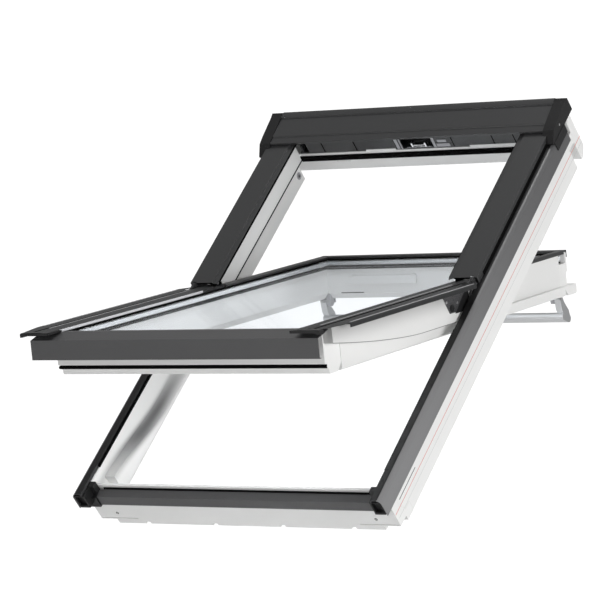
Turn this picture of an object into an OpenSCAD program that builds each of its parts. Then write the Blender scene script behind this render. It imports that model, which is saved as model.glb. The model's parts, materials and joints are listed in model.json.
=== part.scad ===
// Centre-pivot roof skylight with its outer frame, sash half open.
// Everything is drawn in the plane of the roof and then pitched:
//   x runs across the window, y runs up the slope, z points out of the roof.
// y = 0 is the front face of the sill and z = 0 the top of the side cladding.
// The sash is drawn closed and is swung open about its pivot by open_angle.

/* [Window] */
// Width over the timber frame
frame_w = 780; // [780:1:900]
// Length of the timber frame, up the slope
frame_l = 1178; // [1178:1:1300]
// Depth from the top of the side cladding to the room-side face
frame_d = 125; // [125:1:130]
// Pitch of the roof, in degrees
roof_pitch = 45; // [15:1:75]
// How far the sash stands open, in degrees
open_angle = 36; // [0:1:120]

/* [Sheet metal] */
// Thickness of the aluminium covers
sheet_t = 1.2; // [0.9:0.1:1.4]
// Radius of the rounded shoulder of the side cladding
shoulder_r = 12; // [8:1:14]
// Depth of the side cladding's outer flank
cladding_d = 46; // [40:1:50]

/* [Pivot] */
// Distance of the pivot up the slope
pivot_y = 609; // [607:1:611]
// Height of the pivot above the side cladding
pivot_z = 14; // [13:0.5:15]
// Radius of the pivot pin
pin_r = 3.5; // [3:0.1:3.6]
// Running clearance on the radius of every pin
pin_play = 0.06; // [0.04:0.01:0.1]

/* [Glazing] */
// Thickness of each pane
pane_t = 4; // [3:0.5:4]
// Height of the gap between the panes
pane_gap = 9; // [8:0.5:10]

/* [Control bar] */
// How far the ventilation flap stands open, in degrees
flap_turn = 18; // [0:1:25]
// Radius of the bar's pins
bar_pin_r = 3; // [2.5:0.1:3]
// Radius of the barrel bolt
bolt_r = 4; // [3:0.1:4]

/* [Hidden] */

$fn = 48;

frame_x = frame_w / 2;
room_z = -frame_d;

// Frame: the lower half is wide and the upper half has the stops.
wall_x = frame_x - 16;
lip_x = frame_x - 42;
lining_x = frame_x - 10;
lining_z = -87;
jamb_top_z = -2;
shelf_x = wall_x + 3;
shelf_z = -10;
rim_z = -9;
sill_lip_z = -18.5;
stop_x = frame_x - 52;
stop_top_z = -19;
stop_z = -62;
upper_face_x = frame_x - 32;
stop_start_y = pivot_y + 51;
sill_l = 60;
head_y = frame_l - 62.5;
head_face_y = frame_l - 33;
head_end_y = frame_l - 3;
cladding_x = frame_x + 10;
cladding_y0 = -30;
cladding_y1 = frame_l - 54;

// Frame covers
cover_x0 = frame_x - 81.5;
cover_x1 = frame_x - 8;
cover_step_x = frame_x - 69;
cover_top_z = 18;
cover_lip_z = 13.8;
cover_y0 = pivot_y + 4;
cover_y1 = frame_l - 83;
hood_x = frame_x - 18;
hood_y0 = frame_l - 100;
cap_x1 = frame_x + 11;

// Sash, as it lies closed
sash_x = frame_x - 57;
flange_x = frame_x - 45;
wide_x = frame_x - 22;
reveal_x = frame_x - 86;
rebate_x = frame_x - 68;
glass_x = frame_x - 77;
rail_y0 = 29.8;
rail_y1 = 92;
top_rail_y0 = frame_l - 106;
sash_end_y = frame_l - 67.5;
flange_end_y = frame_l - 51.2;
wide_end_y = pivot_y - 9;
sash_top_z = 4;
sash_z = -94.9;
flange_z0 = -91.5;
flange_z1 = -72.5;
pane_top_z = -1.5;
pane_z1 = pane_top_z - pane_t;
pane_z2 = pane_z1 - pane_gap;
pane_z3 = pane_z2 - pane_t;
seal_z = -21.5;
glass_y0 = 16.8;
glass_y1 = frame_l - 81.2;
pane_y0 = 42;
pane_y1 = frame_l - 74;
side_cover_x1 = frame_x + 12;
side_cover_y1 = pivot_y + 43;
corner_cut = 18;
corner_cut_y = 60;
plate_y = -25.2;

// Hinges
eye_r = 6.5;
hinge_x0 = wide_x + 0.3;
hinge_x1 = hinge_x0 + 2;
bracket_x0 = hinge_x1 + 0.5;

// Control bar and bolt
bar_y = frame_l - 99;
bar_z = -106;
bar_x0 = 314;
bar_x1 = 330;
bolt_y = frame_l - 78.3;
bolt_z = -101.2;

// Colours
c_clad = [0.26, 0.26, 0.27];
c_plate = [0.31, 0.31, 0.32];
c_white = [0.93, 0.93, 0.93];
c_black = [0.08, 0.08, 0.08];
c_glass = [0.70, 0.80, 0.86, 0.35];
c_metal = [0.70, 0.71, 0.73];
c_grey = [0.60, 0.61, 0.63];

// ---- Placing -------------------------------------------------------------

// Pitches the roof plane and puts the origin on the sill's room-side face.
module in_roof() {
    rotate([roof_pitch, 0, 0])
        translate([0, -sill_l / 2, frame_d])
            children();
}

// Swings the sash about the pivot, lower end outwards.
module in_sash() {
    in_roof()
        translate([0, pivot_y, pivot_z])
            rotate([-open_angle, 0, 0])
                translate([0, -pivot_y, -pivot_z])
                    children();
}

// Draws the right-hand piece, or its mirror image on the left.
module on_side(side) {
    if (side < 0) mirror([1, 0, 0]) children();
    else children();
}

// Extrudes an (x, z) section up the slope from y0 to y1.
module up_slope(y0, y1) {
    translate([0, y1, 0])
        rotate([90, 0, 0])
            linear_extrude(y1 - y0)
                children();
}

// Extrudes a (y, z) section across the window from x0 to x1.
module across(x0, x1) {
    translate([x0, 0, 0])
        rotate([90, 0, 90])
            linear_extrude(x1 - x0)
                children();
}

// A box given by its two corners.
module block(a, b) {
    translate(a) cube(b - a);
}

// A round bar across the window.
module pin_x(x0, x1, y, z, r) {
    translate([x0, y, z])
        rotate([0, 90, 0])
            cylinder(h = x1 - x0, r = r);
}

// ---- Curved step between the wide and the narrow part ----------------------

function smooth(t) = let(c = min(max(t, 0), 1)) c * c * (3 - 2 * c);
function wall_floor(y) = -38 - 27 * smooth((y - 40) / 290);
function lip_floor(y) = -38 - 43 * smooth((y - 50) / 280);
function wide_edge(y) = -67.2 + 0.00565 * pow(max(387 - y, 0), 1.5);

step_y = [sill_l, for (y = [80 : 20 : 340]) y, stop_start_y];

// Solid under the curved step, from the lip to the wall.
module step_body() {
    n = len(step_y);
    rings = [for (y = step_y) [
        [lip_x, y, lining_z], [wall_x, y, lining_z],
        [wall_x, y, wall_floor(y)], [lip_x, y, lip_floor(y)]
    ]];
    points = [for (ring = rings) for (p = ring) p];
    sides = [for (i = [0 : n - 2]) for (k = [0 : 3])
        [4 * i + k, 4 * i + (k + 1) % 4, 4 * i + 4 + (k + 1) % 4, 4 * i + 4 + k]];
    ends = [[3, 2, 1, 0], [for (k = [0 : 3]) 4 * (n - 1) + k]];
    polyhedron(points, concat(sides, ends));
}

// ---- Frame ----------------------------------------------------------------

// Side view of the jamb's foot, which closes the end of the sill's step.
module foot_section(top) {
    polygon([[0, top], [0, -35.9], [15.9, -32.9], [15.9, sill_lip_z + 0.1], [22.1, sill_lip_z + 0.1],
             [25.1, -50], [27.1, -78], [37.1, -97], [37.1, -98.9], [sill_l, -98.9], [sill_l, top]]);
}

module jamb_shape() {
    across(wall_x, shelf_x) foot_section(shelf_z);
    across(shelf_x, frame_x) foot_section(jamb_top_z);
    up_slope(sill_l, stop_start_y)
        polygon([[frame_x, jamb_top_z], [shelf_x, jamb_top_z], [shelf_x, shelf_z], [wall_x, shelf_z],
                 [wall_x, lining_z], [lining_x, lining_z], [lining_x, room_z], [frame_x, room_z]]);
    step_body();
    up_slope(stop_start_y, head_y)
        polygon([[frame_x, jamb_top_z], [shelf_x, jamb_top_z], [shelf_x, stop_top_z],
                 [stop_x, stop_top_z], [stop_x, stop_z], [upper_face_x, stop_z],
                 [upper_face_x, room_z], [frame_x, room_z]]);
}

module jamb_left() {
    color(c_white) in_roof()
        difference() {
            on_side(-1) jamb_shape();
            pin_x(-upper_face_x - 12, -upper_face_x + 1, bolt_y, bolt_z, 7);
        }
}

module jamb_right() {
    color(c_white) in_roof() jamb_shape();
}

module head() {
    color(c_white) in_roof()
        difference() {
            across(-frame_x, frame_x)
                polygon([[head_end_y, -14], [head_end_y, -107], [head_face_y + 8, room_z],
                         [head_face_y, room_z], [head_face_y, -72], [head_y, -72],
                         [head_y, -46], [head_face_y + 5, -46], [head_face_y + 5, -14]]);
            for (s = [-1, 1]) translate([s * 250, head_face_y - 1, -98]) lining_slot();
        }
}

// Short milled slot in the head's inner face.
module lining_slot() {
    translate([-20, 0, -3]) cube([40, 5, 6]);
}

module sill() {
    screw_x = frame_x - 53;
    color(c_white) in_roof()
        difference() {
            across(-frame_x, frame_x)
                polygon([[0, room_z], [0, -36], [16, -33], [16, sill_lip_z], [22, sill_lip_z],
                         [25, -50], [27, -78], [37, -97], [37, -99], [sill_l, -99], [sill_l, room_z]]);
            for (s = [-1, 1]) {
                translate([s * screw_x, -1, -92]) rotate([-90, 0, 0]) cylinder(h = 31, r = 2);
                translate([s * screw_x - 48, -1, -110]) cube([96, 4, 2.6]);
                translate([s * 370 - 22, -1, room_z - 1]) cube([44, 31, 14]);
                for (x = [88, 268]) translate([s * x - 6, -1, room_z - 1]) cube([12, 9, 7]);
            }
        }
}

module cladding_shape() {
    rim = 375;
    difference() {
        up_slope(cladding_y0, cladding_y1)
            difference() {
                shoulder(rim, cladding_x, -cladding_d, 0, shoulder_r);
                shoulder(rim + sheet_t, cladding_x - sheet_t, -cladding_d - 1, -sheet_t,
                         shoulder_r - sheet_t);
            }
        block([rim - 1, cladding_y0 - 1, -cladding_d - 1], [rim + 3, cladding_y1 + 1, rim_z]);
    }
}

// Section with its outer upper corner rounded.
module shoulder(x0, x1, z0, z1, r) {
    union() {
        translate([x0, z0]) square([x1 - x0, z1 - z0 - r]);
        translate([x0, z0]) square([x1 - x0 - r, z1 - z0]);
        translate([x1 - r, z1 - r]) circle(r);
    }
}

module side_cladding_left() {
    color(c_clad) in_roof() on_side(-1) cladding_shape();
}

module side_cladding_right() {
    color(c_clad) in_roof() cladding_shape();
}

module upper_cover_shape() {
    t = sheet_t;
    difference() {
        up_slope(cover_y0, cover_y1)
            polygon([[cover_x1, 0.2], [cover_x1, cover_top_z], [cover_step_x, cover_top_z],
                     [cover_step_x - 1.2, cover_lip_z + 0.8], [cover_x0, cover_lip_z],
                     [cover_x0, 9.5], [cover_x0 + t, 9.5], [cover_x0 + t, cover_lip_z - t],
                     [cover_step_x, cover_lip_z - 0.4], [cover_step_x + t, cover_top_z - t],
                     [cover_x1 - t, cover_top_z - t], [cover_x1 - t, 0.2]]);
        // Notch over the hinge eye
        block([wide_x - 2.5, cover_y0 - 1, 5], [bracket_x0 + 4, pivot_y + eye_r + 1.5, cover_top_z + 1]);
    }
}

module upper_cover_left() {
    color(c_clad) in_roof() on_side(-1) upper_cover_shape();
}

module upper_cover_right() {
    color(c_clad) in_roof() upper_cover_shape();
}

module top_hood() {
    t = sheet_t;
    fold_y = frame_l - 19;
    end_y = frame_l - 7;
    back_y = frame_l;
    color(c_clad) in_roof()
        across(-hood_x, hood_x)
            polygon([[hood_y0, 19.6], [hood_y0, 25], [hood_y0 + 19, 26.6], [hood_y0 + 21, 29.4],
                     [fold_y - 1.2, 32.6], [fold_y, 35.6], [end_y, 38], [back_y, 36], [back_y, -13.5],
                     [back_y - t, -13.5], [back_y - t, 35], [end_y, 36.7],
                     [fold_y + 0.6, 34.3], [fold_y, 31.3],
                     [hood_y0 + 21.6, 28.1], [hood_y0 + 20, 25.4], [hood_y0 + t, 23.8], [hood_y0 + t, 19.6]]);
}

module hood_cap_shape() {
    difference() {
        across(hood_x + 0.3, cap_x1)
            polygon([[hood_y0 - 22, 0.3], [hood_y0 - 24, 6], [hood_y0, 26], [hood_y0 + 22, 30],
                     [frame_l - 19, 36.5], [frame_l - 6, 39.5], [frame_l, 34], [frame_l, 0.3]]);
        block([hood_x - 1, hood_y0 - 30, -1], [cover_x1 + 0.5, cover_y1 + 0.5, cover_top_z + 0.6]);
        block([hood_x - 1, cover_y1, -1], [cap_x1 - 3, frame_l - 2, 24]);
        pin_x(cap_x1 - 1.5, cap_x1 + 1, hood_y0 + 30, 16, 4);
        pin_x(cap_x1 - 3.5, cap_x1, hood_y0 + 30, 16, 1.4);
    }
    // Skirt that covers the end of the side cladding
    block([cladding_x + 0.3, hood_y0 - 18, -20], [cladding_x + 2.3, frame_l - 54, 3]);
}

module hood_cap_left() {
    color(c_black) in_roof() on_side(-1) hood_cap_shape();
}

module hood_cap_right() {
    color(c_black) in_roof() hood_cap_shape();
}

module sill_cover() {
    t = sheet_t;
    front_y = -8;
    color(c_plate) in_roof()
        across(-frame_x + 32.5, frame_x - 32.5)
            polygon([[front_y, -57], [front_y, -31], [12, -27.5], [12, -32.5], [12 - t, -32.5],
                     [12 - t, -29], [front_y + t, -32.3], [front_y + t, -57]]);
}

module sill_corner_shape() {
    inner_x = frame_x - 32;
    outer_x = wide_x + 1.7;
    difference() {
        union() {
            block([outer_x, cladding_y0 + 1, -44], [cladding_x - 4, -0.2, -7]);
            block([inner_x, -12, -60], [frame_x - 2, -0.2, -30]);
            block([inner_x, -1, -35], [wall_x - 0.5, 14, -5]);
        }
        block([outer_x + 4, cladding_y0 - 1, -38], [cladding_x - 6, cladding_y0 + 9, -10]);
        // Seat of the cladding's turned-down rim
        block([wall_x + 0.7, cladding_y0 - 1, -17.3], [shelf_x - 0.5, 1, 1]);
        block([inner_x - 1, -4, -36.5], [frame_x + 1, 20, -32.7]);
    }
}

module sill_corner_left() {
    color(c_black) in_roof() on_side(-1) sill_corner_shape();
}

module sill_corner_right() {
    color(c_black) in_roof() sill_corner_shape();
}

// Ribbed weather strip along the inner edge of the side cladding.
module lower_gasket_shape() {
    up_slope(sill_l, pivot_y - 135)
        polygon([[wall_x - 0.1, rim_z], [wall_x - 0.1, -2.5], [wall_x - 1.3, -1.5], [wall_x - 1.9, -4],
                 [wall_x - 2.6, -2.5], [wall_x - 3.2, -4], [wall_x - 3.2, rim_z]]);
}

module lower_gasket_left() {
    color(c_black) in_roof() on_side(-1) lower_gasket_shape();
}

module lower_gasket_right() {
    color(c_black) in_roof() lower_gasket_shape();
}

// Rubber strip under the stop of the upper half.
module upper_gasket_shape() {
    up_slope(stop_start_y, head_y)
        polygon([[stop_x + 2, stop_z], [stop_x + 2, stop_z - 6], [stop_x + 8, stop_z - 9.5],
                 [upper_face_x - 1, stop_z - 6], [upper_face_x - 1, stop_z]]);
}

module upper_gasket_left() {
    color(c_black) in_roof() on_side(-1) upper_gasket_shape();
}

module upper_gasket_right() {
    color(c_black) in_roof() upper_gasket_shape();
}

module head_gasket() {
    color(c_black) in_roof()
        across(-stop_x, stop_x)
            polygon([[head_y - 2.6, -52], [head_y, -52], [head_y, -69],
                     [head_y - 1.6, -69], [head_y - 3, -62]]);
}

module sill_gasket() {
    color(c_black) in_roof()
        across(-frame_x + 43, frame_x - 43)
            polygon([[12.3, -33.5], [15.8, -32.9], [15.8, -25.5], [14.5, -23.8], [12.3, -26]]);
}

module vent_channel() {
    y0 = head_y + 2;
    y1 = head_face_y + 4.8;
    half = frame_x - 56;
    color(c_black) in_roof() {
        difference() {
            across(-half, half)
                polygon([[y0, -45.8], [y1, -45.8], [y1, 12], [y1 - 3, 12], [y1 - 3, -42.8], [y0, -42.8]]);
            for (x = [-150, 150]) translate([x, head_y + 12, -50]) cylinder(h = 10, r = 1.6);
        }
        for (x = [65 : 52 : half]) for (s = [-1, 1])
            block([s * x - 1.2, y0, -43], [s * x + 1.2, y1 - 1, -22]);
        for (x = [-240, 200]) block([x, y0 + 4, -43], [x + 46, y1 - 1, -12]);
        pin_x(-275, -225, y1 - 14, -2, 7);
    }
}

module lock_striker() {
    y0 = head_y + 3;
    color(c_metal) in_roof() {
        block([-34, y0, -42.7], [34, y0 + 22, -41.5]);
        for (x = [-20, 16]) block([x, y0, -41.6], [x + 4, y0 + 12, -30]);
        pin_x(-19, 19, y0 + 4, -38.6, 2.2);
    }
}

module frame_hinge_shape() {
    x0 = bracket_x0;
    x1 = wall_x - 0.2;
    across(x0, x1)
        difference() {
            union() {
                polygon([[pivot_y - 70, -50], [pivot_y - 55, -8], [pivot_y - 6, pivot_z - 4],
                         [pivot_y - 6, pivot_z + 2], [pivot_y + 6, pivot_z + 2],
                         [pivot_y + 40, -6], [pivot_y + 40, -50]]);
                translate([pivot_y, pivot_z]) circle(eye_r - 1.5);
            }
            for (p = [[-50, -30], [25, -30]]) translate([pivot_y + p[0], p[1]]) circle(2.2);
        }
    pin_x(wide_x - 1.5, x0 + 0.5, pivot_y, pivot_z, pin_r);
}

module frame_hinge_left() {
    color(c_metal) in_roof() on_side(-1) frame_hinge_shape();
}

module frame_hinge_right() {
    color(c_metal) in_roof() frame_hinge_shape();
}

// Plastic bush for the barrel bolt, let into the left jamb.
module bolt_bush() {
    color(c_grey) in_roof()
        difference() {
            union() {
                pin_x(-upper_face_x - 12, -upper_face_x, bolt_y, bolt_z, 6.9);
                pin_x(-upper_face_x, -upper_face_x + 1.2, bolt_y, bolt_z, 9);
            }
            pin_x(-upper_face_x - 11, -upper_face_x + 3, bolt_y, bolt_z, bolt_r + 0.6);
        }
}

// A pan-head screw driven along -z.
module screw(r, l) {
    cylinder(h = 1.2, r = r);
    translate([0, 0, -l]) cylinder(h = l + 0.1, r = r * 0.42);
}

module frame_screws() {
    color(c_metal) in_roof() {
        for (s = [-1, 1])
            translate([s * (cap_x1 - 1.5), hood_y0 + 30, 16]) rotate([0, s * 90, 0]) screw(3, 1.3);
        for (x = [-150, 150]) translate([x, head_y + 12, -42.8]) screw(3, 2.9);
    }
}

// ---- Sash -----------------------------------------------------------------

module stile_shape() {
    difference() {
        union() {
            up_slope(rail_y1, top_rail_y0)
                polygon([[sash_x, sash_top_z], [rebate_x, sash_top_z], [rebate_x, seal_z],
                         [reveal_x, seal_z], [reveal_x, -79], [reveal_x + 14, sash_z],
                         [flange_x - 4, sash_z], [flange_x, flange_z0],
                         [flange_x, flange_z1], [sash_x, flange_z1]]);
            up_slope(rail_y1, wide_end_y)
                polygon([[flange_x, sash_top_z], [sash_x - 1, sash_top_z], [sash_x - 1, flange_z1 - 1],
                         [flange_x, flange_z1 - 1]]);
            across(flange_x - 1, wide_x)
                wide_section();
        }
        // Seat of the hinge arm
        for (p = [[-118, -18], [-73, -25]])
            pin_x(wide_x - 8, wide_x + 1, pivot_y + p[0], p[1], 1.4);
    }
}

// Side view of the wide part: straight top, curved lower edge.
module wide_section() {
    lower = [for (y = [rail_y0 + 2 : 24 : 387]) [y, wide_edge(y)]];
    polygon(concat([[wide_end_y, sash_top_z], [rail_y0, sash_top_z]], lower, [[wide_end_y, wide_edge(387)]]));
}

module stile_left() {
    color(c_white) in_sash() on_side(-1) stile_shape();
}

module stile_right() {
    color(c_white) in_sash() stile_shape();
}

module bottom_rail() {
    color(c_white) in_sash()
        across(-flange_x + 1, flange_x - 1)
            polygon([[rail_y0, sash_top_z - 6], [rail_y0, -30.5], [rail_y0 + 1, -72.5],
                     [rail_y0 + 8, -72.5], [rail_y0 + 8, -82.5], [rail_y0 + 14.5, -82.5],
                     [rail_y0 + 17.5, sash_z], [rail_y1 - 14, sash_z], [rail_y1, -79],
                     [rail_y1, seal_z], [pane_y0 - 2, seal_z], [pane_y0 - 2, sash_top_z - 6]]);
}

module top_rail() {
    color(c_white) in_sash()
        difference() {
            union() {
                across(-sash_x, sash_x)
                    polygon([[sash_end_y, sash_top_z], [sash_end_y, -40], [sash_end_y - 6, -44],
                             [sash_end_y - 6, flange_z1 - 1], [sash_end_y, flange_z0],
                             [top_rail_y0 + 14, sash_z], [top_rail_y0, -79],
                             [top_rail_y0, seal_z], [pane_y1 + 0.5, seal_z], [pane_y1 + 0.5, sash_top_z]]);
                across(-flange_x, flange_x)
                    polygon([[top_rail_y0, flange_z1], [flange_end_y, flange_z1], [flange_end_y, flange_z0],
                             [flange_end_y - 4, sash_z], [top_rail_y0 + 14, sash_z], [top_rail_y0, -79]]);
            }
            // Air slot, lock pocket
            block([-230, top_rail_y0 + 14, -60], [-60, top_rail_y0 + 26, -26]);
            block([-230, top_rail_y0 - 1, -52], [-60, top_rail_y0 + 15, -46]);
            block([-26, sash_end_y - 28, -45], [26, sash_end_y + 1, -22.3]);
        }
}

module outer_pane() {
    color(c_glass) in_sash()
        block([-rebate_x + 0.5, pane_y0, pane_z1], [rebate_x - 0.5, pane_y1, pane_top_z]);
}

module inner_pane() {
    color(c_glass) in_sash()
        block([-rebate_x + 0.5, pane_y0, pane_z3], [rebate_x - 0.5, pane_y1, pane_z2]);
}

module rect_ring(x0, x1, y0, y1, w, z0, z1) {
    difference() {
        block([x0, y0, z0], [x1, y1, z1]);
        block([x0 + w, y0 + w, z0 - 1], [x1 - w, y1 - w, z1 + 1]);
    }
}

module pane_spacer() {
    color(c_metal) in_sash()
        rect_ring(-rebate_x + 1, rebate_x - 1, pane_y0 + 0.5, pane_y1 - 0.5, 8, pane_z2, pane_z1);
}

module outer_seal() {
    color(c_black) in_sash()
        rect_ring(-rebate_x + 1, rebate_x - 1, pane_y0 + 0.5, pane_y1 - 0.5, 9.5, pane_top_z, -0.5);
}

module inner_seal() {
    color(c_black) in_sash()
        rect_ring(-rebate_x + 1, rebate_x - 1, pane_y0 + 0.5, pane_y1 - 0.5, 10.5, seal_z, pane_z3);
}

module bottom_cover() {
    t = sheet_t;
    back_y = 45;
    color(c_plate) in_sash() {
        across(-wide_x - 0.5, wide_x + 0.5)
            polygon([[plate_y, -51.5], [plate_y, -8.5], [glass_y0, 3.5], [glass_y0, 2],
                     [glass_y0 - 0.5, 2], [plate_y + t, -9.5], [plate_y + t, -50.3],
                     [plate_y + 7, -50.3], [plate_y + 7, -51.5]]);
        across(-glass_x, glass_x)
            polygon([[glass_y0 - 1, 3.4], [glass_y0, 3.5], [back_y, 1.2], [back_y, -0.4],
                     [back_y - t, -0.4], [back_y - t, 0.2], [glass_y0, 2]]);
    }
}

// Side cover of the lower half: raised ridge, rounded upper outer corner.
module sash_cover_shape() {
    t = sheet_t;
    x0 = glass_x + 1;
    x1 = side_cover_x1;
    difference() {
        up_slope(-22, side_cover_y1)
            polygon([[x0, -0.3], [x0, 9.5], [x0 + 24, 10.6], [x0 + 34, 11], [x0 + 41, 9.8],
                     [x1 - 3, 10.2], [x1, 7.6], [x1, 0.5], [x1 - t, 0.5], [x1 - t, 7.1],
                     [x1 - 3.6, 9], [x0 + 41, 8.6], [x0 + 34, 9.7], [x0 + 24, 9.4],
                     [x0 + t, 8.4], [x0 + t, -0.3]]);
        // Corner cut back beside the pivot
        translate([0, 0, -5])
            linear_extrude(30)
                polygon([[x0 + 36, side_cover_y1 + 1], [x0 + 36, side_cover_y1], [x0 + 44, side_cover_y1 - 5],
                         [x0 + 58, side_cover_y1 - 34], [x0 + 84, side_cover_y1 - 68],
                         [x1 + 1, side_cover_y1 - 84], [x1 + 1, side_cover_y1 + 1]]);
        // Outer corner cut back at the lower end
        translate([0, 0, -5])
            linear_extrude(30)
                polygon([[x1 + 1, corner_cut_y], [x1 + 1, -23], [x1 - corner_cut, -23]]);
        // Lip ends behind the bottom cover
        block([x0 - 1, -23, -1], [x0 + 2, glass_y0 + 0.7, 4]);
        // Slot for the hinge arm
        block([wide_x - 3, pivot_y - 42, -5], [bracket_x0 + 3.5, pivot_y + 60, 20]);
    }
}

module sash_cover_left() {
    color(c_clad) in_sash() on_side(-1) sash_cover_shape();
}

module sash_cover_right() {
    color(c_clad) in_sash() sash_cover_shape();
}

// Moulded end that closes the side cover at the lower edge.
module cover_end_shape() {
    x0 = glass_x - 2;
    x1 = side_cover_x1 - corner_cut - 0.5;
    up_slope(-40, -22.2)
        polygon([[x0, 3.6], [x0, 9.6], [x0 + 26, 11], [x0 + 42, 10.5], [x1 - 3, 10.3],
                 [x1, 7.6], [x1, 0.5], [x1 - 6, 0.5], [wide_x + 4, 3.6]]);
    across(x0, x0 + 44)
        polygon([[-22.3, 9], [-22.3, 3.6], [8, 3.7], [14, 4.2], [16, 7], [8, 9]]);
}

module cover_end_left() {
    color(c_black) in_sash() on_side(-1) cover_end_cut();
}

module cover_end_right() {
    color(c_black) in_sash() cover_end_cut();
}

// The moulded end without the room taken by the side cover.
module cover_end_cut() {
    difference() {
        cover_end_shape();
        block([glass_x + 0.7, -22.1, -1], [side_cover_x1 + 1, 60, 12]);
    }
}

module sash_profile_shape() {
    x0 = glass_x;
    up_slope(side_cover_y1 + 5, glass_y1 - 0.3)
        polygon([[x0, -0.3], [x0, 6.5], [x0 + 5, 8.5], [sash_x, 8.5], [sash_x + 1.4, 7],
                 [sash_x + 1.4, 0], [sash_x + 0.2, 0], [sash_x + 0.2, 7.2], [x0 + 5.4, 7.3],
                 [x0 + 1.2, 5.7], [x0 + 1.2, -0.3]]);
}

module sash_profile_left() {
    color(c_clad) in_sash() on_side(-1) sash_profile_shape();
}

module sash_profile_right() {
    color(c_clad) in_sash() sash_profile_shape();
}

module top_cover() {
    y0 = glass_y1;
    y1 = sash_end_y;
    color(c_clad) in_sash()
        across(-sash_x - 1.4, sash_x + 1.4)
            polygon([[y0, -0.3], [y0, 6.5], [y0 + 5, 8.5], [y1, 8.5], [y1 + 1.6, 7], [y1 + 1.6, -9],
                     [y1 + 0.3, -9], [y1 + 0.3, 7.2], [y0 + 5.4, 7.3], [y0 + 1.2, 5.7], [y0 + 1.2, -0.3]]);
}

module bottom_seal() {
    y = rail_y0 + 8;
    color(c_black) in_sash()
        across(-flange_x + 1, flange_x - 1)
            polygon([[y, -73.5], [y - 4, -75.5], [y - 5.5, -79], [y - 2, -81.5], [y, -82]]);
}

module sash_hinge_shape() {
    across(hinge_x0, hinge_x1)
        difference() {
            union() {
                polygon([[pivot_y - 131, -2], [pivot_y - 104, -44.5], [pivot_y - 80, -44.5],
                         [pivot_y - 38, -6], [pivot_y + 2, pivot_z - 6], [pivot_y - 3, pivot_z + 4],
                         [pivot_y - 16, pivot_z - 4], [pivot_y - 40, 3.5], [pivot_y - 128, 3.5]]);
                translate([pivot_y, pivot_z]) circle(eye_r);
            }
            translate([pivot_y, pivot_z]) circle(pin_r + pin_play);
            for (p = [[-118, -18], [-73, -25]]) translate([pivot_y + p[0], p[1]]) circle(1.6);
        }
}

module sash_hinge_left() {
    color(c_metal) in_sash() on_side(-1) sash_hinge_shape();
}

module sash_hinge_right() {
    color(c_metal) in_sash() sash_hinge_shape();
}

module sash_screws() {
    color(c_metal) in_sash()
        for (s = [-1, 1])
            for (p = [[-118, -18], [-73, -25]])
                translate([s * hinge_x1, pivot_y + p[0], p[1]])
                    rotate([0, s * 90, 0]) screw(3.2, 8);
}

// ---- Lock, air filter, bar and bolt ----------------------------------------

latch_y1 = sash_end_y - 0.7;
latch_z0 = -35.8;
latch_z1 = -28;

module lock_case() {
    color(c_metal) in_sash()
        difference() {
            block([-25, sash_end_y - 27, -44], [25, sash_end_y - 1, -22.7]);
            block([-5.8, sash_end_y - 25, latch_z0 - 0.3], [5.8, sash_end_y + 1, latch_z1 + 0.3]);
        }
}

// Sliding latch, drawn back; it slides up the slope over the striker's pin.
module lock_latch() {
    y0 = latch_y1 - 22;
    color(c_grey) in_sash()
        across(-5.5, 5.5)
            polygon([[y0, latch_z0], [latch_y1 - 4, latch_z0], [latch_y1, latch_z0 + 3],
                     [latch_y1, latch_z1], [y0, latch_z1]]);
}

module air_filter() {
    color(c_grey) in_sash()
        block([-229, top_rail_y0 + 14.5, -59], [-61, top_rail_y0 + 25.5, -27]);
}

flap_y = top_rail_y0 - 3;
flap_z = -39;

// Ventilation flap, drawn open as it stands with the bar drawn down.
module vent_flap() {
    color(c_white) in_sash()
        translate([0, flap_y, flap_z])
            rotate([-flap_turn, 0, 0]) {
                block([-240, -0.4, -21], [-50, 2.4, -1]);
                for (x = [-236, -64]) pin_x(x, x + 10, 0, 0, 2.4);
            }
}

module bar_bracket_shape() {
    x0 = bar_x0 - 12;
    x1 = bar_x0 - 1;
    y0 = top_rail_y0 + 1;
    across(x0, x1)
        polygon([[y0, -80.6], [y0, bar_z - 1], [bar_y - 4, bar_z - 7], [bar_y + 4, bar_z - 7],
                 [bar_y + 10, bar_z - 2], [bar_y + 12.5, sash_z - 0.2], [y0 + 13.2, sash_z - 0.2]]);
    pin_x(x1 - 0.5, bar_x1 - 3, bar_y, bar_z, bar_pin_r);
}

module bar_bracket_left() {
    color(c_grey) in_sash() on_side(-1) bar_bracket_shape();
}

module bar_bracket_right() {
    color(c_grey) in_sash() bar_bracket_shape();
}

module control_bar() {
    color(c_metal) in_sash()
        difference() {
            union() {
                across(-bar_x1, bar_x1)
                    bar_section();
                for (s = [-1, 1]) on_side(s)
                    across(bar_x0, bar_x1)
                        polygon([[bar_y - 8, bar_z + 2], [bar_y - 4, bar_z + 7], [bar_y + 4, bar_z + 7],
                                 [bar_y + 9, bar_z - 4], [bar_y + 28, -132], [bar_y + 32, -146],
                                 [bar_y + 6, -144], [bar_y - 4, -127]]);
            }
            pin_x(-bar_x1 + 2.7, bar_x1 - 2.7, bar_y, bar_z, bar_pin_r + pin_play);
        }
}

// Rounded section of the grip.
module bar_section() {
    grip_r = 9;
    union() {
        translate([bar_y + 6, -144]) circle(grip_r);
        translate([bar_y + 26, -152]) circle(grip_r);
        polygon([[bar_y + 9.34, -135.64], [bar_y + 29.34, -143.64],
                 [bar_y + 22.66, -160.36], [bar_y + 2.66, -152.36]]);
    }
}

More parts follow.
